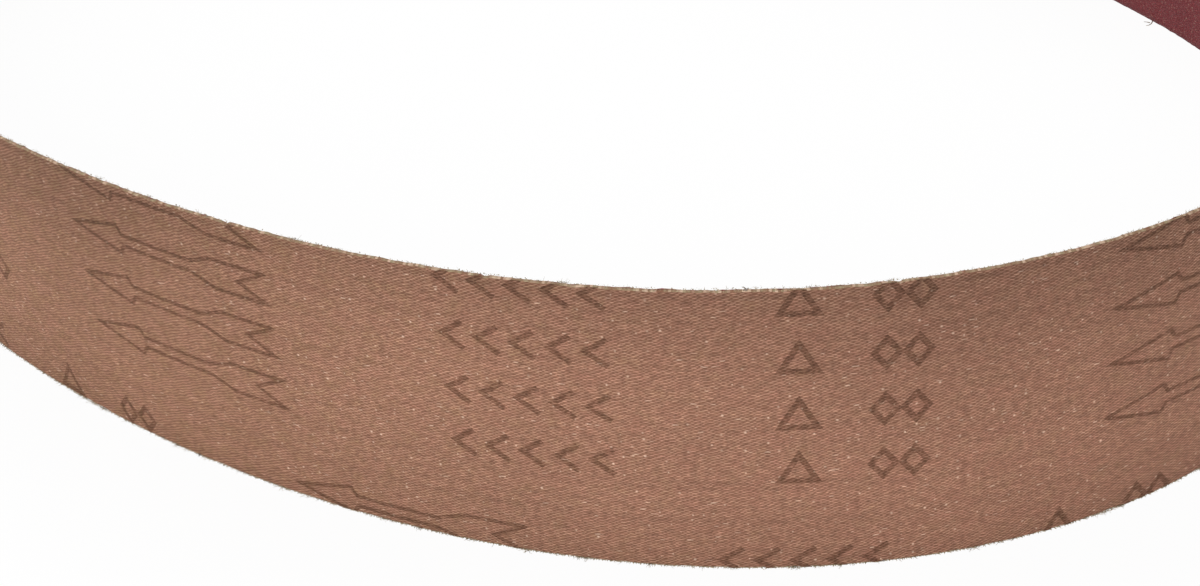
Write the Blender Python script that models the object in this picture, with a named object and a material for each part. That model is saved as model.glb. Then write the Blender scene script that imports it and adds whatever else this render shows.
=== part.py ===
"""A sanding belt that stands on its edge: woven cloth with grit bonded to one face, closed into a loop by a
slanted splice under a thin tape.

The belt is inside out. Its cloth faces out and its grit faces in. +Z runs up the belt's width, X lies along the
oval's longest way across, and the origin is at the middle of the oval, on the floor. Sizes are in metres.
"""

import math

import bmesh
import bpy
import numpy as np

# The belt
BELT_WIDTH = 0.050
BELT_LENGTH = 0.915  # round the middle of the cloth
CLOTH_THICKNESS = 0.0005
GRAIN_THICKNESS = 0.0004
BOND_GAP = 0.00005  # between the cloth and its grit, whose facing sides have the same facets

# The splice
SPLICE_GAP = 0.0003  # between the strip's two ends, along the belt
SPLICE_ANGLE = math.radians(65)  # between the seam and the belt's edge
SPLICE_BLEND = 0.070  # how far along the belt the seam's slant dies away
SPLICE_TURN = math.radians(180)  # where the splice is: the middle of the oval's far side
TAPE_WIDTH = 0.019  # across the seam
TAPE_THICKNESS = 0.0001
TAPE_GAP = 0.00005  # between the tape and the cloth

# The oval that the springy strip settles into. Its heading turns evenly along the belt, apart from this sway, two
# waves to a turn, so the loop closes at any length. No sway is a circle.
OVAL_SWAY = math.radians(14.2)

# How finely the strip is drawn
STATION_STEP = 0.0038  # along the belt
ROWS = 3  # up its width
CURVE_STEPS = 7200  # for the plan curve

# Colours, as red, green and blue from 0 to 255
CLOTH_COLOUR = (160, 118, 98)
GRAIN_COLOUR = (114, 64, 68)
TAPE_COLOUR = (176, 156, 134)


def clear_scene():
    """Removes every object, so that the scene holds only the belt."""
    for item in list(bpy.data.objects):
        bpy.data.objects.remove(item, do_unlink=True)


def linear(level):
    """A colour level from 0 to 255 as the linear value that a shader takes."""
    share = level / 255
    if share <= 0.04045:
        return share / 12.92
    return ((share + 0.055) / 1.055) ** 2.4


def make_material(name, colour, roughness):
    """A plain Principled material that isn't metal."""
    material = bpy.data.materials.new(name)
    material.use_nodes = True
    shader = material.node_tree.nodes["Principled BSDF"]
    shader.inputs["Base Color"].default_value = [linear(level) for level in colour] + [1.0]
    shader.inputs["Roughness"].default_value = roughness
    shader.inputs["Metallic"].default_value = 0.0
    return material


def heading(distance):
    """The direction that the belt runs in at a distance from its splice."""
    turn = SPLICE_TURN + 2 * math.pi * distance / BELT_LENGTH
    return turn - OVAL_SWAY * np.sin(2 * turn)


def trace_loop():
    """Distances from the splice, and the plan points there, with the oval's middle at the origin."""
    distances = np.linspace(0.0, BELT_LENGTH, CURVE_STEPS + 1)
    middles = (distances[1:] + distances[:-1]) / 2
    step = BELT_LENGTH / CURVE_STEPS
    x = np.concatenate([[0.0], np.cumsum(np.cos(heading(middles)) * step)])
    y = np.concatenate([[0.0], np.cumsum(np.sin(heading(middles)) * step)])
    return distances, x - x[1:].mean(), y - y[1:].mean()


def slant(distance, height):
    """How far along the belt a point moves with its height, so that the strip's ends meet at an angle."""
    from_seam = abs((distance + BELT_LENGTH / 2) % BELT_LENGTH - BELT_LENGTH / 2)
    fade = max(0.0, 1.0 - from_seam / SPLICE_BLEND)
    return (height - BELT_WIDTH / 2) / math.tan(SPLICE_ANGLE) * fade * fade * (3 - 2 * fade)


def belt_point(curve, distance, height, offset):
    """A point at a distance along the belt, a height and an offset outwards from the middle of the cloth."""
    along = (distance + slant(distance, height)) % BELT_LENGTH
    distances, x, y = curve
    facing = heading(along)
    return (
        np.interp(along, distances, x) + offset * math.sin(facing),
        np.interp(along, distances, y) - offset * math.cos(facing),
        height,
    )


def stations(start, stop):
    """Evenly spaced distances along the belt, from start to stop."""
    count = max(1, math.ceil((stop - start) / STATION_STEP - 1e-6))
    return [float(value) for value in np.linspace(start, stop, count + 1)]


def strip_stations():
    """The stations of the whole strip, from one side of the seam round to the other, with one at each tape edge."""
    near_end = stations(SPLICE_GAP / 2, tape_reach())
    body = stations(tape_reach(), BELT_LENGTH - tape_reach())
    far_end = [BELT_LENGTH - value for value in reversed(near_end)]
    return near_end + body[1:-1] + far_end


def tape_stations():
    """The tape's stations, from one edge to the other: the strip's own, on both sides of the seam."""
    one_side = stations(SPLICE_GAP / 2, tape_reach())
    return [-value for value in reversed(one_side)] + one_side


def tape_reach():
    """How far the tape runs along the belt from the seam."""
    return TAPE_WIDTH / 2 / math.sin(SPLICE_ANGLE)


def make_strip(name, curve, distances, inner, outer, material):
    """A closed strip that follows the loop, between two offsets from the middle of the cloth."""
    shape = bmesh.new()
    heights = [float(value) for value in np.linspace(0.0, BELT_WIDTH, ROWS + 1)]
    rings = []
    for distance in distances:
        rise = [shape.verts.new(belt_point(curve, distance, height, outer)) for height in heights]
        fall = [shape.verts.new(belt_point(curve, distance, height, inner)) for height in reversed(heights)]
        rings.append(rise + fall)
    for before, after in zip(rings, rings[1:]):
        for corner in range(len(before)):
            following = (corner + 1) % len(before)
            shape.faces.new((before[corner], before[following], after[following], after[corner]))
    for ring in (rings[0], rings[-1]):
        for row in range(ROWS):
            shape.faces.new((ring[row], ring[row + 1], ring[-2 - row], ring[-1 - row]))
    bmesh.ops.recalc_face_normals(shape, faces=shape.faces)
    bmesh.ops.triangulate(shape, faces=shape.faces, quad_method="FIXED")
    mesh = bpy.data.meshes.new(name)
    shape.to_mesh(mesh)
    shape.free()
    mesh.shade_smooth()
    mesh.set_sharp_from_angle(angle=math.radians(30))
    mesh.materials.append(material)
    return bpy.data.objects.new(name, mesh)


def make_cloth(curve):
    """The woven backing, on the outside of the loop."""
    material = make_material("cloth", CLOTH_COLOUR, 0.9)
    half = CLOTH_THICKNESS / 2
    return make_strip("cloth_backing", curve, strip_stations(), -half, half, material)


def make_grain(curve):
    """The coat of grit, on the inside of the loop."""
    material = make_material("grain", GRAIN_COLOUR, 0.75)
    outer = -CLOTH_THICKNESS / 2 - BOND_GAP
    return make_strip("grain_coat", curve, strip_stations(), outer - GRAIN_THICKNESS, outer, material)


def make_tape(curve):
    """The thin tape over the seam, on the cloth's face."""
    material = make_material("tape", TAPE_COLOUR, 0.45)
    inner = CLOTH_THICKNESS / 2 + TAPE_GAP
    return make_strip("splice_tape", curve, tape_stations(), inner, inner + TAPE_THICKNESS, material)


def main():
    """Builds the belt under one empty at the part's origin."""
    clear_scene()
    base = bpy.data.objects.new("belt_base", None)
    bpy.context.scene.collection.objects.link(base)
    curve = trace_loop()
    for piece in (make_cloth(curve), make_grain(curve), make_tape(curve)):
        bpy.context.scene.collection.objects.link(piece)
        piece.parent = base


main()
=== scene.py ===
"""Dresses the sanding belt: woven cloth with its print outside, grit inside, frayed edges and a
taped splice.

Places on the belt are given as a distance along it from the splice, a height up its width and an
offset outwards from the middle of the cloth, all in metres.
"""

import functools
import itertools
import math

import bmesh
import bpy
import numpy as np
from bpy.props import FloatProperty, FloatVectorProperty, IntProperty, PointerProperty
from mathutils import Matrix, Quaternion, Vector


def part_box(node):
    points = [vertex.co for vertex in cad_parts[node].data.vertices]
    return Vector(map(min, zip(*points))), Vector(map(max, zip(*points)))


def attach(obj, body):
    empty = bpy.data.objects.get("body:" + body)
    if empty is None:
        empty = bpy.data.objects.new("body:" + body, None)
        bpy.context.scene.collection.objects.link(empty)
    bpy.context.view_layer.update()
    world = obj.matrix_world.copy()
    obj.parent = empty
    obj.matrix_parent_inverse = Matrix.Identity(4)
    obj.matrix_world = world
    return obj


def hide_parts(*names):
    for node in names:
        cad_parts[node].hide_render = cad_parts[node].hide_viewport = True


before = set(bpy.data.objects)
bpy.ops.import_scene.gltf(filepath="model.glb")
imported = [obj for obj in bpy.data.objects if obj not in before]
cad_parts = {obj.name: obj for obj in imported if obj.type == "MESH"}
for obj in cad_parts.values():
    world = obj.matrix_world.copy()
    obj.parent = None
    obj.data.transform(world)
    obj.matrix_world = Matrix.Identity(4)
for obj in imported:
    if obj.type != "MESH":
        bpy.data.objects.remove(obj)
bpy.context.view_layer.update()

bl_info = {
    "name": "Sanding Belt",
    "version": (1, 0, 0),
    "blender": (4, 5, 0),
    "location": "View3D > Sidebar > Sanding Belt",
    "description": "Builds a cloth-backed sanding belt that stands on its edge",
    "category": "Object",
}

BELT_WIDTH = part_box("cloth_backing")[1].z
UV_NAME = "belt"
CURVE_STEPS = 7200


def linear(level):
    """A colour level from 0 to 255 as the linear value that a shader takes."""
    share = level / 255
    return share / 12.92 if share <= 0.04045 else ((share + 0.055) / 1.055) ** 2.4


def shade(red, green, blue):
    """A colour from its levels from 0 to 255."""
    return (linear(red), linear(green), linear(blue))


def length_property(name, description, default):
    """A size in metres."""
    return FloatProperty(
        name=name, description=description, default=default, precision=5, unit="LENGTH"
    )


def angle_property(name, description, degrees):
    """An angle, given in degrees."""
    default = math.radians(degrees)
    return FloatProperty(name=name, description=description, default=default, subtype="ANGLE")


def colour_property(name, description, default):
    """A colour, given in linear values."""
    return FloatVectorProperty(
        name=name, description=description, default=default, subtype="COLOR", size=3
    )


def count_property(name, description, default):
    """A number of things."""
    return IntProperty(name=name, description=description, default=default)


class BeltSizes(bpy.types.PropertyGroup):
    """Sizes of the strip and of the oval that it stands in"""

    length: length_property("Length", "Round the middle of the cloth", 0.915)
    oval_sway: angle_property("Oval sway", "How far the oval departs from a circle", 14.2)
    cloth: length_property("Cloth", "Thickness of the cloth", 0.0005)
    bond: length_property("Bond", "Gap between the cloth and the grit layer", 0.00005)
    grit: length_property("Grit layer", "Thickness of the resin and grit", 0.0004)
    grit_relief: length_property("Grit relief", "How unevenly the grains stand", 0.00004)
    grit_inset: length_property("Grit inset", "How far below the top edge the grit ends", 0.00008)
    grit_bevel: length_property("Grit bevel", "How far from a cut edge the grit is chipped", 0.0005)
    edge_wander: length_property("Edge wander", "How far the cut edges wander", 0.00010)
    splice_gap: length_property("Splice gap", "Gap between the strip's two ends", 0.0003)
    splice_angle: angle_property("Splice angle", "Between the seam and the belt's edge", 65)
    splice_blend: length_property("Splice blend", "Where the seam's slant dies away", 0.070)
    tape_width: length_property("Tape width", "Across the seam", 0.019)
    tape: length_property("Tape", "Thickness of the tape", 0.0001)


class BeltWeave(bpy.types.PropertyGroup):
    """Sizes of the twill and of its loose fibres"""

    repeat: length_property("Repeat", "From one float to the next along a thread", 0.00119)
    thread: length_property("Thread", "Spacing of the lengthwise threads", 0.000262)
    lean: FloatProperty(
        name="Lean", description="How far a float leans towards the next thread's", default=0.45
    )
    pick: length_property("Pick", "Spacing of the crosswise threads", 0.00040)
    thread_end: length_property("Thread end", "Radius of a crosswise thread's cut end", 0.00013)
    fibre: length_property("Fibre", "Radius of a loose fibre", 0.000026)
    top_fibres: count_property("Top fibres", "Loose fibres on the top edge", 8000)
    low_fibres: count_property("Low fibres", "Loose fibres on the bottom edge", 6000)
    tufts: count_property("Tufts", "Places on each edge where fibres bunch", 90)


class BeltPrint(bpy.types.PropertyGroup):
    """Sizes and places of the printed marks"""

    start: length_property("Start", "Distance of the print's own origin from the splice", 0.5966)
    turn: angle_property("Turn", "How far the print is turned against the edges", -0.72)
    repeat: length_property("Repeat", "From one set of marks to the next", 0.16737)
    row: length_property("Row", "From one row to the next", 0.00978)
    first_row: length_property("First row", "Height of the first row of a group", 0.04835)
    group_along: length_property("Group step", "From one group to the next, along", 0.03984)
    group_down: length_property("Group drop", "From one group to the next, down", 0.04693)
    height: length_property("Mark height", "Height of the small marks", 0.0047)
    thin_line: length_property("Thin line", "Line of the arrows", 0.00068)
    thick_line: length_property("Thick line", "Line of the small marks", 0.00092)


class BeltColours(bpy.types.PropertyGroup):
    """Colours of the belt"""

    thread: colour_property("Thread", "Tops of the threads", shade(194, 150, 125))
    hollow: colour_property("Hollow", "Between the threads", shade(129, 90, 71))
    pink: colour_property("Pink", "Warm patches of the dye", shade(192, 132, 116))
    olive: colour_property("Olive", "Cool patches of the dye", shade(172, 142, 104))
    slub: colour_property("Slub", "Pale slubs in the thread", shade(236, 204, 180))
    ink: colour_property("Ink", "What the ink leaves of the cloth's colour", (0.52, 0.485, 0.45))
    cut: colour_property("Cut", "Cut ends of the threads", shade(152, 136, 108))
    lint: colour_property("Lint", "Threads that have come loose", shade(132, 122, 120))
    fibre: colour_property("Fibre", "Loose fibres", shade(186, 168, 138))
    grain: colour_property("Grain", "Faces of the grains", shade(147, 61, 65))
    resin: colour_property("Resin", "Hollows between the grains", shade(98, 38, 42))
    film: colour_property("Film", "Splice tape", shade(196, 168, 140))
    floor: colour_property("Floor", "The floor", (0.97, 0.97, 0.98))


# Places on the belt

def heading(distance, sizes):
    """The direction that the belt runs in at a distance from its splice."""
    turn = math.pi + 2 * math.pi * distance / sizes.length
    return turn - sizes.oval_sway * np.sin(2 * turn)


def trace_loop(sizes):
    """Distances from the splice, and the plan points there, round the oval's middle."""
    distances = np.linspace(0.0, sizes.length, CURVE_STEPS + 1)
    middles = (distances[1:] + distances[:-1]) / 2
    step = sizes.length / CURVE_STEPS
    x = np.concatenate([[0.0], np.cumsum(np.cos(heading(middles, sizes)) * step)])
    y = np.concatenate([[0.0], np.cumsum(np.sin(heading(middles, sizes)) * step)])
    return distances, x - x[1:].mean(), y - y[1:].mean()


def wrap(flat, sizes):
    """Belt places, as rows of distance, height and offset, as points in space."""
    distance = flat[..., 0] % sizes.length
    distances, x, y = trace_loop(sizes)
    facing = heading(distance, sizes)
    along_x = np.interp(distance, distances, x) + flat[..., 2] * np.sin(facing)
    along_y = np.interp(distance, distances, y) - flat[..., 2] * np.cos(facing)
    return np.stack([along_x, along_y, flat[..., 1]], axis=-1)


def slant(distance, height, sizes):
    """How far a point moves along the belt with its height, so that the ends meet at an angle."""
    half = sizes.length / 2
    from_seam = np.abs((distance + half) % sizes.length - half)
    fade = np.maximum(0.0, 1.0 - from_seam / sizes.splice_blend)
    return (height - BELT_WIDTH / 2) / math.tan(sizes.splice_angle) * fade * fade * (3 - 2 * fade)


def wander(count, smooth, seed):
    """A smooth random line of about unit height, with its ends meeting."""
    line = np.random.default_rng(seed).normal(size=count)
    reach = 3 * smooth
    spread = np.exp(-0.5 * (np.arange(-reach, reach + 1) / smooth) ** 2)
    looped = np.concatenate([line[-reach:], line, line[:reach]])
    line = np.convolve(looped, spread, "valid")
    return line / line.std()


def unit(rows):
    """Rows scaled to a length of one."""
    return rows / np.linalg.norm(rows, axis=-1)[..., None]


# Meshes

def put_in_scene(name, data):
    """A new object in the scene, from a mesh, a lamp or a camera."""
    thing = bpy.data.objects.new(name, data)
    bpy.context.scene.collection.objects.link(thing)
    return thing


def new_piece(name, points, faces, flat, materials):
    """A piece that rides on the belt, with its places on the belt as its UV map, in metres."""
    mesh = bpy.data.meshes.new(name)
    mesh.from_pydata(points.tolist(), [], faces)
    layer = mesh.uv_layers.new(name=UV_NAME)
    corners = np.empty(len(mesh.loops), np.int32)
    mesh.loops.foreach_get("vertex_index", corners)
    layer.data.foreach_set("uv", np.ascontiguousarray(flat[corners, :2], np.float32).ravel())
    for material in materials:
        mesh.materials.append(material)
    mesh.shade_smooth()
    piece = put_in_scene(name, mesh)
    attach(piece, "root")
    return piece


def ring_faces(rings, corners):
    """Faces of a closed tube: rings of corners, one after another, with an end face at each end."""
    faces = []
    for ring in range(rings - 1):
        for corner in range(corners):
            following = (corner + 1) % corners
            low = ring * corners
            high = low + corners
            faces.append((low + corner, low + following, high + following, high + corner))
    faces.append(tuple(reversed(range(corners))))
    faces.append(tuple(range((rings - 1) * corners, rings * corners)))
    return faces


def closed_piece(name, flat, sizes, materials):
    """A closed tube through rings of belt places."""
    rings, corners = flat.shape[:2]
    places = flat.reshape(-1, 3)
    return new_piece(name, wrap(places, sizes), ring_faces(rings, corners), places, materials)


def mark_edges(piece, corners, columns):
    """Gives a strip's second material to its cut edges, which are some columns of its section."""
    marks = [int(face % corners in columns) for face in range(len(piece.data.polygons))]
    piece.data.polygons.foreach_set("material_index", marks)


def finish_solid(piece, sharp_degrees):
    """Makes a closed piece's faces point out, and its steeper corners look sharp."""
    shape = bmesh.new()
    shape.from_mesh(piece.data)
    bmesh.ops.recalc_face_normals(shape, faces=shape.faces)
    shape.to_mesh(piece.data)
    shape.free()
    piece.data.set_sharp_from_angle(angle=math.radians(sharp_degrees))


def strip_flat(steps, profile, sizes):
    """Belt places of a strip: its profile of heights and offsets, at even steps along it."""
    start = sizes.splice_gap / 2
    distances = np.linspace(start, sizes.length - start, steps)[:, None]
    heights, offsets = profile
    heights = np.broadcast_to(heights, (steps, heights.shape[-1]))
    offsets = np.broadcast_to(offsets, heights.shape)
    moved = distances + slant(distances, heights, sizes)
    return np.stack([moved, heights, offsets], axis=-1)


# Material nodes
#
# A range is a value's two ends and what they become. A noise is its scale for each metre, its
# detail and its roughness, and a patchy look is a noise and its range.

FLOAT_SHARE = 0.78  # of a repeat, the rest of which goes under a crosswise thread
FLOAT_FLATNESS = 0.8
FLOAT_LEVELS = (0.0, 1.0, 0.60, 1.20)  # from the dullest float to the brightest
PALE_FLOATS = (0.98, 1.0, 0.0, 0.6)
WEAVE_DEPTH = 0.00006
STRAY_NOISE = (420.0, 3.0, 0.7)
STRAY_ALONG = 0.0022  # how far threads stray along the belt
STRAY_ACROSS = 0.0006  # how far they stray up and down
PATCH_NOISE = (300.0, 4.0, 0.65)
PINK_PATCHES = (0.5, 0.72, 0.0, 0.5)
OLIVE_PATCHES = (0.5, 0.3, 0.0, 0.7)
NUB_CELLS = 620.0  # for each metre
NUB_REACH = (0.0, 1.0, 0.08, 0.18)  # of a cell
NUB_CHANCE = (0.72, 1.0)  # most cells have no nub
CLOUDS = ((28.0, 3.0, 0.55), (0.3, 0.7, 0.94, 1.06))
MOTTLE = ((950.0, 2.0, 0.6), (0.25, 0.75, 0.76, 1.24))
STREAKS = (0.0, 1.0, 0.94, 1.06)  # from the darkest thread to the palest
STREAK_SEED = 7.0
LEAST_SHADED = 0.40  # where the painted shade is least, as a share of the belt's width
EDGE_SHADE = 0.72  # painted shade at a whole width from there; it grows with the distance squared
# Bands of painted light and shade along the upper part of the cloth
SHADE_BAND_STEP = 0.1525  # from one lighter band of painted light to the next, a sixth of the belt
SHADE_BAND_PLACE = 0.5480  # distance of a lighter band of painted light from the splice
SHADE_BAND_DEPTH = 0.10
SHADE_BAND_SINK = 0.3  # how much more the painted bands darken than they lighten
SHADE_BAND_EDGES = (0.36, 0.80)  # where the bands begin and are full, as shares of the belt's width
TINT_STEP = 0.3050  # from one pinkish stretch of the dye to the next, a third of the belt
TINT_PLACE = 0.6200  # distance of a pinkish stretch from the splice
TINT_SHIFT = 0.08  # how far the patches lean to pink there, and to olive between
INK_COVER = ((1300.0, 3.0), (0.3, 0.6, 0.45, 1.0))
CUT_PATCHES = ((900.0, 4.0, 0.65), (0.38, 0.6))
CUT_SPECKS = (0.6, 1.0, 0.0, 0.5)
CUT_SEED = 3.0
CUT_NOISE = (2600.0, 2.0)
CUT_DEPTH = 0.0001
FIBRE_PATCHES = ((400.0, 3.0), (0.4, 0.6))
GRAIN_CELLS = 4200.0  # for each metre
GRAIN_DOME = (0.0, 0.75, 1.0, 0.0)  # from a grain's middle to its side
GRAIN_HEIGHTS = (0.0, 1.0, 0.35, 1.0)
GRAIN_DEPTH = 0.00018
GRAIN_FACES = (0.05, 0.6)
GRAIN_GLINTS = (0.93, 1.0, 0.0, 0.3)
GRAIN_ROUGHNESS = (0.0, 1.0, 0.45, 0.9)
GRIT_PATCHES = ((90.0, 3.0), (0.3, 0.7, 0.0, 0.25))
GRIT_LOW_SHADE = (0.0, 0.0012, 0.7, 0.0)  # painted shade along the bottom edge, in the resin's colour
FILM_LINE = 0.0011  # from one fine line of the film to the next
FILM_ALPHA = (-1.0, 1.0, 0.46, 0.60)
FILM_PATCHES = ((260.0, 4.0, 0.6), (0.35, 0.65))
FILM_NOISE = (700.0, 3.0)
FILM_DEPTH = 0.00004


class Nodes:
    """A short way to write a node tree."""

    def __init__(self, tree):
        self.tree = tree

    def add(self, kind, **settings):
        """A node with some of its settings changed."""
        node = self.tree.nodes.new(kind)
        for name, value in settings.items():
            setattr(node, name, value)
        return node

    def feed(self, socket, value):
        """Links a socket to an output, or sets it to a plain value."""
        if isinstance(value, bpy.types.NodeSocket):
            self.tree.links.new(value, socket)
        else:
            socket.default_value = value

    def math(self, operation, first, second=0.0, clamp=False):
        """One step of arithmetic."""
        node = self.add("ShaderNodeMath", operation=operation, use_clamp=clamp)
        for socket, value in zip(node.inputs, (first, second)):
            self.feed(socket, value)
        return node.outputs[0]

    def product(self, *values):
        """All the values multiplied together."""
        return functools.reduce(lambda first, second: self.math("MULTIPLY", first, second), values)

    def wave(self, distance, place, step):
        """A wave along the belt, from -1 to 1, that is highest at a place and each step from it."""
        turns = self.product(self.math("SUBTRACT", distance, place), 2 * math.pi / step)
        return self.math("COSINE", turns)

    def mix(self, factor, first, second, blend="MIX"):
        """Two colours mixed."""
        node = self.add("ShaderNodeMix", data_type="RGBA", blend_type=blend)
        self.feed(node.inputs["Factor"], factor)
        for socket, value in ((node.inputs[6], first), (node.inputs[7], second)):
            linked = isinstance(value, bpy.types.NodeSocket)
            self.feed(socket, value if linked else (*value, 1.0))
        return node.outputs[2]

    def between(self, value, low, high, low_out=0.0, high_out=1.0):
        """A value carried from one range to another, kept inside it."""
        node = self.add("ShaderNodeMapRange")
        for socket, number in zip(node.inputs, (value, low, high, low_out, high_out)):
            self.feed(socket, number)
        return node.outputs[0]

    def noise(self, vector, scale, detail, roughness=0.5):
        """Soft noise about 0.5, as a value and as a colour."""
        node = self.add("ShaderNodeTexNoise")
        self.feed(node.inputs["Vector"], vector)
        node.inputs["Scale"].default_value = scale
        node.inputs["Detail"].default_value = detail
        node.inputs["Roughness"].default_value = roughness
        return node.outputs["Fac"], node.outputs["Color"]

    def patchy(self, vector, noise, span):
        """The value of a noise, carried to a range."""
        return self.between(self.noise(vector, *noise)[0], *span)

    def split(self, colour):
        """The three values of a colour."""
        node = self.add("ShaderNodeSeparateColor")
        self.feed(node.inputs[0], colour)
        return node.outputs

    def cells(self, vector, scale):
        """Random cells: the distance from each one's middle, and three random values for each."""
        node = self.add("ShaderNodeTexVoronoi", feature="F1", voronoi_dimensions="2D")
        self.feed(node.inputs["Vector"], vector)
        node.inputs["Scale"].default_value = scale
        return node.outputs["Distance"], self.split(node.outputs["Color"])

    def chance(self, first, second):
        """An even random value for each pair of whole numbers."""
        pair = self.add("ShaderNodeCombineXYZ")
        self.feed(pair.inputs[0], first)
        self.feed(pair.inputs[1], second)
        node = self.add("ShaderNodeTexWhiteNoise", noise_dimensions="2D")
        self.feed(node.inputs["Vector"], pair.outputs[0])
        return node.outputs["Value"]

    def place(self):
        """The place on the belt: the whole vector, the distance and the height, in metres."""
        vector = self.add("ShaderNodeUVMap", uv_map=UV_NAME).outputs[0]
        parts = self.add("ShaderNodeSeparateXYZ")
        self.feed(parts.inputs[0], vector)
        return vector, parts.outputs[0], parts.outputs[1]

    def stray(self, vector, distance, height):
        """A distance and a height moved a little, as threads stray from their places."""
        drift = self.split(self.noise(vector, *STRAY_NOISE)[1])
        along = self.product(drift[0], STRAY_ALONG)
        across = self.product(drift[1], STRAY_ACROSS)
        return self.math("ADD", distance, along), self.math("ADD", height, across)

    def seen_directly(self):
        """1 for what the camera sees, also in a shiny or clear surface, and 0 for other light."""
        path = self.add("ShaderNodeLightPath")
        glossy = self.math("MAXIMUM", path.outputs["Is Camera Ray"], path.outputs["Is Glossy Ray"])
        return self.math("MAXIMUM", glossy, path.outputs["Is Transmission Ray"])

    def bump(self, height, depth):
        """A surface normal from a height that runs from 0 to 1 over a depth in metres."""
        node = self.add("ShaderNodeBump")
        self.feed(node.inputs["Height"], height)
        node.inputs["Distance"].default_value = depth
        return node.outputs[0]

    def dress(self, shader, colour, height, depth):
        """Gives a shader its colour and its fine relief."""
        self.feed(shader.inputs["Base Color"], colour)
        self.feed(shader.inputs["Normal"], self.bump(height, depth))


def blank_material(name):
    """A material's nodes and its Principled shader, with a plain dull finish."""
    material = bpy.data.materials.new(name)
    material.use_nodes = True
    nodes = Nodes(material.node_tree)
    shader = material.node_tree.nodes["Principled BSDF"]
    shader.inputs["Roughness"].default_value = 0.9
    shader.inputs["Specular IOR Level"].default_value = 0.2
    return material, nodes, shader


def add_twill(nodes, weave, colours):
    """The dyed twill: its colour, and its height from 0 to 1.

    Each lengthwise thread shows as a row of short floats, half a repeat along from those of the
    next thread, and the floats lean, so that lines rise along the belt.
    """
    vector, distance, height = nodes.place()
    distance, height = nodes.stray(vector, distance, height)
    threads = nodes.math("DIVIDE", height, weave.thread)
    row = nodes.math("FLOOR", threads)
    inside = nodes.math("SUBTRACT", nodes.math("FRACT", threads), 0.5)
    lean = nodes.product(inside, weave.lean)
    shift = nodes.product(nodes.math("ADD", row, lean), 0.5)
    steps = nodes.math("SUBTRACT", nodes.math("DIVIDE", distance, weave.repeat), shift)
    along = nodes.math("DIVIDE", nodes.math("FRACT", steps), FLOAT_SHARE)
    along = nodes.math("MINIMUM", along, 1.0)
    arch = nodes.math("SINE", nodes.product(along, math.pi))
    lens = nodes.math("POWER", arch, FLOAT_FLATNESS)
    across = nodes.math("COSINE", nodes.product(inside, math.pi))
    luck = nodes.chance(nodes.math("FLOOR", steps), row)
    bright = nodes.between(luck, *FLOAT_LEVELS)
    level = nodes.math("MULTIPLY", nodes.product(lens, across), bright, clamp=True)
    tint = nodes.product(nodes.wave(distance, TINT_PLACE, TINT_STEP), TINT_SHIFT)
    patches = nodes.math("ADD", nodes.noise(vector, *PATCH_NOISE)[0], tint)
    dye = nodes.mix(nodes.between(patches, *PINK_PATCHES), colours.thread, colours.pink)
    dye = nodes.mix(nodes.between(patches, *OLIVE_PATCHES), dye, colours.olive)
    dye = nodes.mix(nodes.between(luck, *PALE_FLOATS), dye, colours.slub)
    colour = nodes.mix(level, colours.hollow, dye)
    from_nub, nub_luck = nodes.cells(vector, NUB_CELLS)
    reach = nodes.between(nub_luck[1], *NUB_REACH)
    dot = nodes.math("SUBTRACT", 1.0, nodes.math("DIVIDE", from_nub, reach), clamp=True)
    nub = nodes.product(dot, nodes.between(nub_luck[0], *NUB_CHANCE))
    colour = nodes.mix(nub, colour, colours.slub)
    # the dye, with painted shade towards both edges and painted bands of light and shade along the
    # upper part
    depth = add_dye_and_shade(nodes, vector, distance, height, row)
    return nodes.mix(1.0, colour, depth, "MULTIPLY"), level


def add_dye_and_shade(nodes, vector, distance, height, row):
    """How strongly the cloth took the dye, with painted shade, as a grey to multiply by.

    It is cloudy and a little different from one thread to the next. Painted shade darkens it
    towards both edges, and slow bands of painted light and shade run along its upper part.
    """
    streak = nodes.between(nodes.chance(row, STREAK_SEED), *STREAKS)
    share = nodes.math("DIVIDE", height, BELT_WIDTH)
    # painted shade: darker towards both edges, least a little below the middle
    away = nodes.math("SUBTRACT", share, LEAST_SHADED)
    edges = nodes.math("SUBTRACT", 1.0, nodes.product(away, away, EDGE_SHADE))
    # painted light and shade: slow bands along the upper part, lighter at each step and darker
    # between
    wave = nodes.math("SUBTRACT", nodes.wave(distance, SHADE_BAND_PLACE, SHADE_BAND_STEP), SHADE_BAND_SINK)
    shade_bands = nodes.product(wave, nodes.between(share, *SHADE_BAND_EDGES, 0.0, SHADE_BAND_DEPTH))
    shade_bands = nodes.math("ADD", shade_bands, 1.0)
    return nodes.product(
        nodes.patchy(vector, *CLOUDS), nodes.patchy(vector, *MOTTLE), streak, edges, shade_bands
    )


def cloth_material(weave, colours):
    """Dyed twill."""
    material, nodes, shader = blank_material("twill cloth")
    colour, height = add_twill(nodes, weave, colours)
    nodes.dress(shader, colour, height, WEAVE_DEPTH)
    return material


def ink_material(weave, colours):
    """Dull ink soaked into the twill, thinner in places."""
    material, nodes, shader = blank_material("print ink")
    colour, height = add_twill(nodes, weave, colours)
    cover = nodes.patchy(nodes.place()[0], *INK_COVER)
    ink = nodes.mix(cover, (1.0, 1.0, 1.0), colours.ink)
    nodes.dress(shader, nodes.mix(1.0, colour, ink, "MULTIPLY"), height, WEAVE_DEPTH)
    return material


def cut_material(name, dark, weave, colours):
    """Cut ends of threads: pale specks, with a darker colour between them."""
    material, nodes, shader = blank_material(name)
    vector, distance, _ = nodes.place()
    end = nodes.math("FLOOR", nodes.math("DIVIDE", distance, weave.pick))
    specks = nodes.between(nodes.chance(end, CUT_SEED), *CUT_SPECKS)
    colour = nodes.mix(nodes.patchy(vector, *CUT_PATCHES), dark, colours.cut)
    colour = nodes.mix(specks, colour, colours.slub)
    nodes.dress(shader, colour, nodes.noise(vector, *CUT_NOISE)[0], CUT_DEPTH)
    return material


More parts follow.
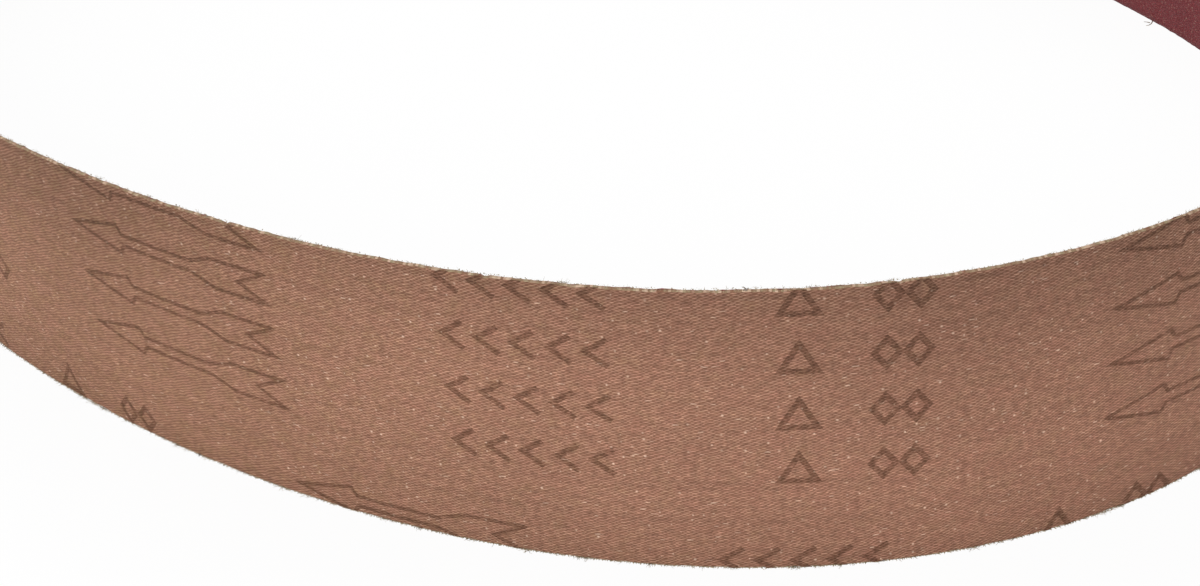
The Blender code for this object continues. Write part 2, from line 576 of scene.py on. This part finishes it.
def fibre_material(name, dark, pale):
    """Cotton fibre, paler in some places than in others."""
    material, nodes, shader = blank_material(name)
    patches = nodes.patchy(nodes.place()[0], *FIBRE_PATCHES)
    nodes.feed(shader.inputs["Base Color"], nodes.mix(patches, dark, pale))
    return material


def grit_material(colours):
    """Crushed grains in resin, some of them with a bright face."""
    material, nodes, shader = blank_material("maroon grit")
    vector, _, height = nodes.place()
    from_grain, luck = nodes.cells(vector, GRAIN_CELLS)
    dome = nodes.between(from_grain, *GRAIN_DOME)
    tall = nodes.product(dome, nodes.between(luck[0], *GRAIN_HEIGHTS))
    colour = nodes.mix(nodes.between(tall, *GRAIN_FACES), colours.resin, colours.grain)
    colour = nodes.mix(nodes.between(luck[1], *GRAIN_GLINTS), colour, colours.slub)
    colour = nodes.mix(nodes.patchy(vector, *GRIT_PATCHES), colour, colours.resin)
    # painted shade: darker towards the bottom edge, mixed towards the resin's colour
    colour = nodes.mix(nodes.between(height, *GRIT_LOW_SHADE), colour, colours.resin)
    nodes.dress(shader, colour, tall, GRAIN_DEPTH)
    nodes.feed(shader.inputs["Roughness"], nodes.between(luck[2], *GRAIN_ROUGHNESS))
    shader.inputs["Specular IOR Level"].default_value = 0.35
    return material


def film_material(colours):
    """Thin film that lets the cloth show through, with fine lines across the belt."""
    material, nodes, shader = blank_material("splice film")
    vector, distance, _ = nodes.place()
    line = nodes.math("SINE", nodes.product(distance, 2 * math.pi / FILM_LINE))
    colour = nodes.mix(nodes.patchy(vector, *FILM_PATCHES), colours.film, colours.thread)
    nodes.dress(shader, colour, nodes.noise(vector, *FILM_NOISE)[0], FILM_DEPTH)
    nodes.feed(shader.inputs["Alpha"], nodes.between(line, *FILM_ALPHA))
    shader.inputs["Roughness"].default_value = 0.38
    shader.inputs["Specular IOR Level"].default_value = 0.5
    return material


def floor_material(colours):
    """A pale floor that the camera sees as white, apart from the belt's soft shadow."""
    material, nodes, shader = blank_material("pale floor")
    shader.inputs["Base Color"].default_value = (*colours.floor, 1.0)
    shader.inputs["Roughness"].default_value = 1.0
    glow = nodes.add("ShaderNodeEmission")
    blend = nodes.add("ShaderNodeMixShader")
    nodes.feed(blend.inputs[0], nodes.product(nodes.seen_directly(), FLOOR_GLOW))
    nodes.feed(blend.inputs[1], shader.outputs[0])
    nodes.feed(blend.inputs[2], glow.outputs[0])
    output = material.node_tree.nodes["Material Output"]
    nodes.feed(output.inputs["Surface"], blend.outputs[0])
    return material


# The strip

CLOTH_STEPS = 1831
CLOTH_CORNER = 0.16  # how far a corner is eased, as a share of the cloth's thickness
CLOTH_INSET = 0.3  # how far below the top edge that begins, as such a share
CLOTH_MARGIN = 1.6  # how far the border along an edge reaches, as such a share
CLOTH_LOW_WANDER = 0.6  # how much the bottom edge wanders, as a share of the top edge's
CLOTH_EDGE_COLUMNS = (0, 7, 8, 11)  # the columns of the cloth's section that are cut edge
GRIT_STEPS = 1241
GRIT_ROWS = 68
GRIT_EDGE_COLUMNS = (GRIT_ROWS - 1, GRIT_ROWS + 1)
GRIT_LOW_WANDER = 0.5
GRIT_BED = 0.85  # where the grains' mean level lies, as a share of the layer's thickness
CHIP_DEPTH = 0.6  # how deep the layer's edges are chipped, as such a share
CLUMP_LUCK = 0.93  # a place with more luck than this has a tall clump of grains
CLUMP_RELIEF = 1.8  # against the relief's own size, like the two that follow
FINE_RELIEF = 0.6
RELIEF_LIMITS = (-2, 3)
NICKS = (0.0721, 0.2304, 0.3870, 0.5082, 0.5511, 0.6084, 0.7433)  # distances from the splice
NICK_DEPTH = 0.00035
NICK_REACH = 0.0005
TAPE_COLUMNS = 27
TAPE_ROWS = 61
TAPE_INSET = 0.0003  # from the belt's edges to the tape's ends
TAPE_WANDER = 0.008  # of its half width
TAPE_THINNING = 0.6  # how much thinner it is at its sides
TAPE_GAP = 0.5  # between the cloth and the tape, as a share of the tape's thickness


def nick_depth(steps, sizes):
    """How deep small nicks cut into the top edge, at even steps along the belt."""
    distances = np.linspace(0.0, sizes.length, steps)
    return sum(NICK_DEPTH * np.exp(-((distances - place) / NICK_REACH) ** 2) for place in NICKS)


def cloth_profile(sizes):
    """Heights and offsets round the cloth's section, up its outer face and down its inner face.

    The cut edges wander a little along the belt.
    """
    half = sizes.cloth / 2
    eased = half - sizes.cloth * CLOTH_CORNER
    rough = (wander(CLOTH_STEPS, 1, 11) + wander(CLOTH_STEPS, 12, 12)) / 2
    top = BELT_WIDTH + sizes.edge_wander * rough - nick_depth(CLOTH_STEPS, sizes)
    low = sizes.edge_wander * np.abs(wander(CLOTH_STEPS, 2, 13)) * CLOTH_LOW_WANDER
    margin = sizes.cloth * CLOTH_MARGIN
    middle = np.full(CLOTH_STEPS, BELT_WIDTH)
    heights = [low, low + half, low + margin, middle * 0.25, middle * 0.5, middle * 0.75]
    heights += [top - margin, top - sizes.cloth * CLOTH_INSET, top, top, middle * 0.5, low]
    offsets = [eased, *[half] * 7, eased, -eased, -half, -eased]
    return np.stack(heights, axis=1), np.array(offsets)


def make_cloth(sizes, weave, colours):
    """The woven backing. Its narrow cut edges have a material of their own."""
    flat = strip_flat(CLOTH_STEPS, cloth_profile(sizes), sizes)
    cloth = cloth_material(weave, colours)
    cut = cut_material("cut cloth edge", colours.hollow, weave, colours)
    piece = closed_piece("cloth_weave", flat, sizes, [cloth, cut])
    mark_edges(piece, flat.shape[1], CLOTH_EDGE_COLUMNS)
    finish_solid(piece, 45)
    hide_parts("cloth_backing")


def grit_relief(sizes):
    """Uneven grains, as offsets for each step and row: fine unevenness and sparse tall clumps."""
    draw = np.random.default_rng(21)
    fine = draw.normal(size=(GRIT_STEPS, GRIT_ROWS))
    tall = draw.random((GRIT_STEPS, GRIT_ROWS)) > CLUMP_LUCK
    relief = fine * FINE_RELIEF + tall * CLUMP_RELIEF
    return sizes.grit_relief * np.clip(relief, *RELIEF_LIMITS)


def make_grit(sizes, weave, colours):
    """The layer of grit on the loop's inner face, with its cut edges dusted with fibre."""
    outer = -sizes.cloth / 2 - sizes.bond
    inner = outer - sizes.grit * GRIT_BED
    rows = np.linspace(0.0, BELT_WIDTH - sizes.grit_inset, GRIT_ROWS)
    from_edge = np.minimum(rows, rows[-1] - rows)
    chipped = np.clip(1.0 - from_edge / sizes.grit_bevel, 0.0, 1.0) * sizes.grit * CHIP_DEPTH
    ragged = np.tile(rows, (GRIT_STEPS, 1))
    ragged[:, 0] += sizes.edge_wander * np.abs(wander(GRIT_STEPS, 1, 22)) * GRIT_LOW_WANDER
    worn = sizes.edge_wander * np.abs(wander(GRIT_STEPS, 1, 23))
    ragged[:, -1] -= worn + nick_depth(GRIT_STEPS, sizes)
    ends = np.stack([ragged[:, -1], ragged[:, 0]], axis=1)
    heights = np.concatenate([ragged, ends], axis=1)
    backs = np.full((GRIT_STEPS, 2), outer)
    offsets = np.concatenate([inner + chipped - grit_relief(sizes), backs], axis=1)
    flat = strip_flat(GRIT_STEPS, (heights, offsets), sizes)
    grit = grit_material(colours)
    cut = cut_material("cut grit edge", colours.grain, weave, colours)
    piece = closed_piece("grit_layer", flat, sizes, [grit, cut])
    mark_edges(piece, flat.shape[1], GRIT_EDGE_COLUMNS)
    finish_solid(piece, 60)
    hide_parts("grain_coat")


def make_tape(sizes, colours):
    """The film over the seam: a thin strip with slightly uneven edges that lie a little lower."""
    reach = sizes.tape_width / 2 / math.sin(sizes.splice_angle)
    low = sizes.cloth / 2 + sizes.tape * TAPE_GAP
    rows = np.linspace(TAPE_INSET, BELT_WIDTH - TAPE_INSET, TAPE_ROWS)
    ragged = 1.0 + TAPE_WANDER * wander(TAPE_ROWS, 2, 31)
    seam = slant(np.zeros(TAPE_ROWS), rows, sizes)
    rings = []
    for share in np.linspace(-1.0, 1.0, TAPE_COLUMNS):
        moved = share * reach * ragged + seam
        lift = sizes.tape * (1.0 - TAPE_THINNING * abs(share) ** 8)
        front = np.stack([moved, rows, np.full(TAPE_ROWS, low + lift)], axis=1)
        back = np.stack([moved, rows, np.full(TAPE_ROWS, low)], axis=1)[::-1]
        rings.append(np.concatenate([front, back]))
    film = film_material(colours)
    piece = closed_piece("splice_film", np.stack(rings), sizes, [film])
    finish_solid(piece, 45)
    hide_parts("splice_tape")


# The print

ARROW_HEAD = (0.0104, 0.00255)  # length, half width
ARROW_NECK = (0.0113, 0.0010)  # from the tip to where the shaft starts, and its half width
ARROW_FLARE = (0.0256, 0.0303)  # from the tip to where the shaft ends and the tail is full
ARROW_TAIL = (0.0402, 0.0027, 0.0350)  # length, half width and where its notch is
ARROW_TIP = -0.1236  # from the print's origin
CHEVRONS = (-0.0547, -0.0280, 5)  # from, to and how many
CHEVRON_BACK = 0.82  # where a chevron's open ends are in its step
CHEVRON_REACH = 0.6  # of a step, from the open ends to the point
TRIANGLE = (-0.0050, 0.0003)
DIAMONDS = (0.0075, 0.0165, 2)
DIAMOND_REACH = 0.40  # of a step, from the middle to the corners at the sides
SLIPS = {  # marks printed off their places: piece, copy, group, and how far along the belt
    ("triangle_marks", -1, 1): -0.0067,
    ("diamond_marks", -1, 1): -0.0034,
    ("diamond_marks", -1, 0): 0.0028,
    ("diamond_marks", 0, 1): 0.0015,
}
GROUPS = (-1, 0, 1)  # the groups of rows that reach the belt, from the top one down
GROUP_ROWS = 4
COPIES = range(-5, 4)  # enough to go round the belt
LINE_STEP = 0.0008  # longest run of a printed line before it bends with the belt
INK_LIFT = 0.00002
MITRE_LIMIT = 0.4  # keeps a sharp corner from running out too far


def arrow_outline():
    """The direction arrow, pointing back along the belt: head, shaft and a notched tail."""
    half = [
        ARROW_HEAD,
        ARROW_NECK,
        (ARROW_FLARE[0], ARROW_NECK[1]),
        (ARROW_FLARE[1], ARROW_TAIL[1]),
        ARROW_TAIL[:2],
    ]
    mirrored = [(along, -up) for along, up in reversed(half)]
    outline = [(0.0, 0.0), *half, (ARROW_TAIL[2], 0.0), *mirrored]
    return [(ARROW_TIP + along, up) for along, up in outline]


def chevron_outlines(height):
    """A row of chevrons that point the arrow's way."""
    first, last, count = CHEVRONS
    step = (last - first) / count
    reach = step * CHEVRON_REACH
    backs = [first + step * (index + CHEVRON_BACK) for index in range(count)]
    return [[(back, height / 2), (back - reach, 0.0), (back, -height / 2)] for back in backs]


def triangle_outline(height):
    """An open triangle that stands on its base."""
    start, stop = TRIANGLE
    return [((start + stop) / 2, height / 2), (stop, -height / 2), (start, -height / 2)]


def diamond_outlines(height):
    """Upright diamonds side by side."""
    first, last, count = DIAMONDS
    step = (last - first) / count
    reach = step * DIAMOND_REACH
    corners = [(0.0, height / 2), (reach, 0.0), (0.0, -height / 2), (-reach, 0.0)]
    middles = [first + step * (index + 0.5) for index in range(count)]
    return [[(middle + along, up) for along, up in corners] for middle in middles]


def resample(points, closed):
    """A line with extra points, so that no run of it is longer than LINE_STEP."""
    stops = points[1:] + points[:1] if closed else points[1:]
    runs = []
    for start, stop in zip(points, stops):
        pieces = max(1, math.ceil(math.dist(start, stop) / LINE_STEP))
        runs.append(np.linspace(start, stop, pieces, endpoint=False))
    return np.concatenate(runs if closed else [*runs, [points[-1]]])


def line_sides(fine, closed, width):
    """Both sides of a printed line, with mitred corners."""
    if closed:
        before, after = fine - np.roll(fine, 1, axis=0), np.roll(fine, -1, axis=0) - fine
    else:
        runs = np.diff(fine, axis=0)
        before, after = np.vstack([runs[:1], runs]), np.vstack([runs, runs[-1:]])
    before = unit(before)
    mitre = unit(before + unit(after))
    lean = np.maximum((mitre * before).sum(axis=1), MITRE_LIMIT)
    side = np.stack([-mitre[:, 1], mitre[:, 0]], axis=1) * (width / 2 / lean)[:, None]
    return fine + side, fine - side


def draw_line(shape, points, closed, width, place):
    """Adds a printed line to a flat mesh, moved to its place on the belt."""
    left, right = line_sides(resample(points, closed), closed, width)
    pairs = [[shape.verts.new((*place(point), 0.0)) for point in pair] for pair in zip(left, right)]
    following = pairs[1:] + pairs[:1] if closed else pairs[1:]
    for (start_left, start_right), (stop_left, stop_right) in zip(pairs, following):
        shape.faces.new((start_left, start_right, stop_right, stop_left))


def mark_places(name, printing):
    """Functions that carry a mark's points to the belt places of its copies, one for each copy."""
    cosine, sine = math.cos(printing.turn), math.sin(printing.turn)
    for group, row, copy in itertools.product(GROUPS, range(GROUP_ROWS), COPIES):
        slip = SLIPS.get((name, copy, group), 0.0)
        shift = copy * printing.repeat + group * printing.group_along + slip
        lift = printing.first_row - row * printing.row - group * printing.group_down

        def place(point, shift=shift, lift=lift):
            along, up = point[0] + shift, point[1] + lift
            return printing.start + along * cosine - up * sine, along * sine + up * cosine

        yield place


def trim(shape, sizes):
    """Cuts the print off at the belt's edges and at its two slanted ends."""
    low_end, high_end = sizes.splice_gap / 2, sizes.length - sizes.splice_gap / 2
    lean = Vector((math.sin(sizes.splice_angle), -math.cos(sizes.splice_angle), 0.0))
    cuts = [
        ((0.0, 0.0, 0.0), Vector((0.0, -1.0, 0.0))),
        ((0.0, BELT_WIDTH, 0.0), Vector((0.0, 1.0, 0.0))),
        ((low_end, BELT_WIDTH / 2, 0.0), -lean),
        ((high_end, BELT_WIDTH / 2, 0.0), lean),
    ]
    for point, outwards in cuts:
        parts = shape.verts[:] + shape.edges[:] + shape.faces[:]
        bmesh.ops.bisect_plane(
            shape, geom=parts, plane_co=point, plane_no=outwards, clear_outer=True
        )


def make_print(name, lines, closed, width, scene, material):
    """All the copies of some printed lines, laid on the cloth's outer face."""
    sizes = scene.belt_sizes
    shape = bmesh.new()
    for place in mark_places(name, scene.belt_print):
        for points in lines:
            draw_line(shape, points, closed, width, place)
    trim(shape, sizes)
    shape.verts.index_update()
    flat = np.array([vertex.co[:] for vertex in shape.verts])
    faces = [tuple(vertex.index for vertex in face.verts) for face in shape.faces]
    shape.free()
    flat[:, 2] = sizes.cloth / 2 + INK_LIFT
    new_piece(name, wrap(flat, sizes), faces, flat, [material])


# Frayed edges

FIBRE_POINTS = 4
FIBRE_SIDES = 3
FIBRE_TAPER = 0.6  # how much thinner a fibre is at its tip
FIBRE_LONGEST = 0.0010
TOP_FIBRE_LENGTHS = (0.00008, 0.00009)  # the shortest, and how much longer they are on average
LOW_FIBRE_LENGTHS = (0.00012, 0.00018)
TOP_END_LENGTHS = (0.3, 1.8)  # of thread ends, from and to, against their radius
LOW_END_LENGTHS = (0.8, 3.4)
TUFT_SHARE = 0.3  # of the fibres, those that stand in a tuft
TUFT_REACH = 0.0003
TUFT_GROWTH = 2.0  # how much longer fibres grow in a tuft
FIBRE_BEND = 0.9
FIBRE_RADII = (0.7, 1.3)
LOW_FIBRE_GIRTH = 1.5  # how much thicker fibres are on the bottom edge
END_RADII = (0.5, 1.0)
END_STRAY = 0.25  # how far thread ends stray, as a share of their spacing
LINT_BEND = 0.8
LINT_GIRTH = 5.5  # how much thicker a loose thread is than a fibre
TOP_RISE = (0.2, 0.8)  # how steeply fibres rise, from and to
TOP_SWAY = 0.8
LOW_RISE = (0.0, 0.12)
LOW_REACH = (0.4, 1.0)  # how far they lean outwards
ROOT_DEPTH = 0.2  # how far fibres start from an edge, as a share of the cloth's thickness
TOP_ROOTS = (-1.2, 0.5)  # offsets between which they start, as such shares
LOW_ROOT = 0.45
FLOOR_GAP = 0.00001
LOOSE_THREADS = (  # the root's distance, height and offset, and how far the tip is from it
    (0.82712, 0.0004, -0.0008, -0.0009, 0.0, -0.0026),
    (0.82680, 0.0004, -0.0019, 0.0010, 0.0001, -0.0008),
    (0.49150, 0.0002, 0.0002, 0.0003, 0.0, 0.0006),
    (0.60672, 0.0002, 0.0002, 0.0002, 0.0, 0.0003),
    (0.50500, 0.0500, 0.0001, -0.0006, 0.0005, 0.0001),
    (0.58740, 0.0500, 0.0, 0.0007, 0.0004, 0.0002),
    (0.58780, 0.0500, 0.0001, -0.0006, 0.0006, 0.0),
)


def bent_tubes(starts, reaches, bends, radii):
    """Belt places of thin tapered tubes that run from their starts over their reaches and bend."""
    starts, reaches, bends = (rows[:, None, :] for rows in (starts, reaches, bends))
    shares = np.linspace(0.0, 1.0, FIBRE_POINTS)[None, :, None]
    paths = starts + reaches * shares + bends * shares * (1 - shares)
    tangents = unit(reaches + bends * (1 - 2 * shares))
    helper = np.zeros_like(tangents)
    np.put_along_axis(helper, np.abs(tangents).argmin(axis=2)[..., None], 1.0, axis=2)
    first = unit(np.cross(tangents, helper))
    second = np.cross(tangents, first)
    thickness = radii[:, None, None] * (1.0 - FIBRE_TAPER * shares)
    turns = [2 * math.pi * side / FIBRE_SIDES for side in range(FIBRE_SIDES)]
    sides = [math.cos(turn) * first + math.sin(turn) * second for turn in turns]
    return np.stack([paths + thickness * side for side in sides], axis=2)


def make_fibres(name, starts, reaches, bends, radii, sizes, material):
    """A piece made of many bent tubes that stay above the floor."""
    places = bent_tubes(starts, reaches, bends, radii).reshape(-1, 3)
    places[:, 1] = np.maximum(places[:, 1], FLOOR_GAP)
    one = ring_faces(FIBRE_POINTS, FIBRE_SIDES)
    firsts = range(0, len(places), FIBRE_POINTS * FIBRE_SIDES)
    faces = [tuple(corner + first for corner in face) for first in firsts for face in one]
    new_piece(name, wrap(places, sizes), faces, places, [material])


def away_from_edge(draw, count, top, spread):
    """Directions away from an edge: up from the top one, and over the floor from the bottom one."""
    along = spread * draw.normal(size=count)
    if top:
        up = draw.uniform(*TOP_RISE, count)
        out = TOP_SWAY * spread * draw.normal(size=count)
    else:
        up = draw.uniform(*LOW_RISE, count)
        out = draw.uniform(*LOW_REACH, count)
    return unit(np.stack([along, up, out], axis=1))


def edge_roots(draw, distance, top, sizes):
    """Where fibres start: on the top cut edge, or low on the cloth's outer face."""
    count = len(distance)
    depth = sizes.cloth * ROOT_DEPTH
    if top:
        height, offset = BELT_WIDTH - depth, draw.uniform(*TOP_ROOTS, count) * sizes.cloth
    else:
        height, offset = depth, np.full(count, sizes.cloth * LOW_ROOT)
    return np.stack([distance, np.full(count, height), offset], axis=1)


def make_thread_ends(name, top, seed, sizes, weave, material):
    """The cut ends of the crosswise threads, which stand a little out of an edge."""
    draw = np.random.default_rng(seed)
    distance = np.arange(weave.pick, sizes.length - weave.pick, weave.pick)
    count = len(distance)
    distance = distance + weave.pick * END_STRAY * draw.normal(size=count)
    spans = TOP_END_LENGTHS if top else LOW_END_LENGTHS
    lengths = weave.thread_end * draw.uniform(*spans, count)
    reaches = away_from_edge(draw, count, top, 0.5) * lengths[:, None]
    radii = weave.thread_end * draw.uniform(*END_RADII, count)
    roots = edge_roots(draw, distance, top, sizes)
    make_fibres(name, roots, reaches, np.zeros_like(reaches), radii, sizes, material)


def make_edge_fibres(name, count, top, seed, sizes, weave, material):
    """Short fine fibres along a cut edge, some of them bunched in tufts."""
    draw = np.random.default_rng(seed)
    ends = sizes.splice_gap, sizes.length - sizes.splice_gap
    distance = draw.uniform(*ends, count)
    bunched = draw.random(count) < TUFT_SHARE
    tufts = draw.uniform(*ends, weave.tufts)[draw.integers(weave.tufts, size=count)]
    distance = np.where(bunched, tufts + TUFT_REACH * draw.normal(size=count), distance)
    shortest, usual = TOP_FIBRE_LENGTHS if top else LOW_FIBRE_LENGTHS
    lengths = shortest + draw.exponential(usual, count) * np.where(bunched, TUFT_GROWTH, 1.0)
    lengths = np.minimum(lengths, FIBRE_LONGEST)
    reaches = away_from_edge(draw, count, top, 0.9) * lengths[:, None]
    bends = FIBRE_BEND * lengths[:, None] * draw.normal(size=(count, 3))
    radii = weave.fibre * draw.uniform(*FIBRE_RADII, count) * (1.0 if top else LOW_FIBRE_GIRTH)
    roots = edge_roots(draw, distance, top, sizes)
    make_fibres(name, roots, reaches, bends, radii, sizes, material)


def make_loose_threads(sizes, weave, material):
    """A few longer threads that have come away from the edges."""
    rows = np.array(LOOSE_THREADS)
    starts, reaches = rows[:, :3], rows[:, 3:]
    bends = reaches[:, [2, 1, 0]] * LINT_BEND
    radii = np.full(len(rows), weave.fibre * LINT_GIRTH)
    make_fibres("loose_threads", starts, reaches, bends, radii, sizes, material)


# Camera and stage

CAMERA_PLACE = (0.26344, -0.25833, 0.20351)
CAMERA_AZIMUTH = math.radians(133.909)  # of its line of sight, from +X
CAMERA_PITCH = math.radians(34.312)  # below level
CAMERA_ROLL = math.radians(-4.621)
CAMERA_LENS = 60.22  # millimetres
KEY_PLACE = (0.54, -1.23, 0.95)
KEY_SIZE = 0.9
KEY_POWER = 15.6  # watts
FILL_PLACE = (-0.9, 0.7, 1.3)
FILL_SIZE = 1.4
FILL_POWER = 15.0
WORLD_LEVEL = 0.44
FLOOR_REACH = 6.0
FLOOR_GLOW = 0.94  # the share of the floor's look that is plain white and takes no shadow


def make_camera():
    """The camera, turned a little about its line of sight."""
    camera = put_in_scene("belt_camera", bpy.data.cameras.new("belt_camera"))
    level = math.cos(CAMERA_PITCH)
    sight = Vector((
        math.cos(CAMERA_AZIMUTH) * level,
        math.sin(CAMERA_AZIMUTH) * level,
        -math.sin(CAMERA_PITCH),
    ))
    camera.location = CAMERA_PLACE
    camera.rotation_mode = "QUATERNION"
    roll = Quaternion((0.0, 0.0, 1.0), CAMERA_ROLL)
    camera.rotation_quaternion = sight.to_track_quat("-Z", "Y") @ roll
    camera.data.lens = CAMERA_LENS
    camera.data.clip_start = 0.01
    bpy.context.scene.camera = camera


def make_lamp(name, place, size, power):
    """A large soft lamp that faces the middle of the belt."""
    lamp = put_in_scene(name, bpy.data.lights.new(name, "AREA"))
    lamp.data.size = size
    lamp.data.energy = power
    lamp.location = place
    lamp.rotation_mode = "QUATERNION"
    lamp.rotation_quaternion = (-Vector(place)).to_track_quat("-Z", "Y")


def make_world():
    """Even light from all round, which the camera sees as white."""
    world = bpy.data.worlds.new("studio")
    world.use_nodes = True
    nodes = Nodes(world.node_tree)
    background = world.node_tree.nodes["Background"]
    background.inputs["Color"].default_value = (1.0, 1.0, 1.0, 1.0)
    strength = nodes.between(nodes.seen_directly(), 0.0, 1.0, WORLD_LEVEL, 1.0)
    nodes.feed(background.inputs["Strength"], strength)
    bpy.context.scene.world = world


def make_floor(colours):
    """The pale floor that the belt stands on."""
    corners = [(-1, -1, 0), (1, -1, 0), (1, 1, 0), (-1, 1, 0)]
    corners = [[FLOOR_REACH * number for number in corner] for corner in corners]
    mesh = bpy.data.meshes.new("studio_floor")
    mesh.from_pydata(corners, [], [(0, 1, 2, 3)])
    mesh.materials.append(floor_material(colours))
    floor = put_in_scene("studio_floor", mesh)


# Operators

class BELT_OT_stage(bpy.types.Operator):
    """Make the floor, the lamps, the world and the camera"""

    bl_idname = "belt.stage"
    bl_label = "Stage"

    def execute(self, context):
        make_floor(context.scene.belt_colours)
        make_world()
        make_lamp("key_lamp", KEY_PLACE, KEY_SIZE, KEY_POWER)
        make_lamp("fill_lamp", FILL_PLACE, FILL_SIZE, FILL_POWER)
        make_camera()
        context.scene.view_settings.view_transform = "Standard"
        return {"FINISHED"}


class BELT_OT_cloth(bpy.types.Operator):
    """Make the woven backing"""

    bl_idname = "belt.cloth"
    bl_label = "Cloth"

    def execute(self, context):
        scene = context.scene
        make_cloth(scene.belt_sizes, scene.belt_weave, scene.belt_colours)
        return {"FINISHED"}


class BELT_OT_grit(bpy.types.Operator):
    """Make the layer of grit"""

    bl_idname = "belt.grit"
    bl_label = "Grit"

    def execute(self, context):
        scene = context.scene
        make_grit(scene.belt_sizes, scene.belt_weave, scene.belt_colours)
        return {"FINISHED"}


class BELT_OT_tape(bpy.types.Operator):
    """Make the film over the seam"""

    bl_idname = "belt.tape"
    bl_label = "Splice tape"

    def execute(self, context):
        make_tape(context.scene.belt_sizes, context.scene.belt_colours)
        return {"FINISHED"}


class BELT_OT_print(bpy.types.Operator):
    """Print the arrows and the plain marks on the cloth"""

    bl_idname = "belt.print"
    bl_label = "Print"

    def execute(self, context):
        scene = context.scene
        printing = scene.belt_print
        height, thick = printing.height, printing.thick_line
        ink = ink_material(scene.belt_weave, scene.belt_colours)
        make_print("direction_arrows", [arrow_outline()], True, printing.thin_line, scene, ink)
        make_print("chevron_marks", chevron_outlines(height), False, thick, scene, ink)
        make_print("triangle_marks", [triangle_outline(height)], True, thick, scene, ink)
        make_print("diamond_marks", diamond_outlines(height), True, thick, scene, ink)
        return {"FINISHED"}


class BELT_OT_fibres(bpy.types.Operator):
    """Fray the cut edges"""

    bl_idname = "belt.fibres"
    bl_label = "Frayed edges"

    def execute(self, context):
        scene = context.scene
        sizes, weave = scene.belt_sizes, scene.belt_weave
        colours = scene.belt_colours
        material = fibre_material("loose fibre", colours.cut, colours.fibre)
        make_thread_ends("top_thread_ends", True, 43, sizes, weave, material)
        make_thread_ends("bottom_thread_ends", False, 44, sizes, weave, material)
        make_edge_fibres("top_edge_fibres", weave.top_fibres, True, 41, sizes, weave, material)
        make_edge_fibres("bottom_edge_fibres", weave.low_fibres, False, 42, sizes, weave, material)
        make_loose_threads(sizes, weave, fibre_material("lint", colours.lint, colours.cut))
        return {"FINISHED"}


class BELT_PT_panel(bpy.types.Panel):
    """Lists the belt's steps, sizes and colours"""

    bl_label = "Sanding Belt"
    bl_idname = "BELT_PT_panel"
    bl_space_type = "VIEW_3D"
    bl_region_type = "UI"
    bl_category = "Sanding Belt"

    def draw(self, context):
        for step in STEPS:
            self.layout.operator(step.bl_idname)
        for name in SETTINGS:
            group = getattr(context.scene, name)
            box = self.layout.box()
            for key in group.__annotations__:
                box.prop(group, key)


SETTINGS = {
    "belt_sizes": BeltSizes,
    "belt_weave": BeltWeave,
    "belt_print": BeltPrint,
    "belt_colours": BeltColours,
}
STEPS = (BELT_OT_stage, BELT_OT_cloth, BELT_OT_grit, BELT_OT_tape, BELT_OT_print, BELT_OT_fibres)


def register():
    """Registers the classes and adds their settings to the scene."""
    for kind in (*SETTINGS.values(), *STEPS, BELT_PT_panel):
        bpy.utils.register_class(kind)
    for name, group in SETTINGS.items():
        setattr(bpy.types.Scene, name, PointerProperty(type=group))


def unregister():
    """Takes away what register added."""
    for name in SETTINGS:
        delattr(bpy.types.Scene, name)
    for kind in (BELT_PT_panel, *reversed(STEPS), *reversed(SETTINGS.values())):
        bpy.utils.unregister_class(kind)


def main():
    """Builds the stage and the belt, one step after another."""
    register()
    bpy.ops.belt.stage()
    bpy.ops.belt.cloth()
    bpy.ops.belt.grit()
    bpy.ops.belt.tape()
    bpy.ops.belt.print()
    bpy.ops.belt.fibres()


if __name__ == "__main__":
    main()
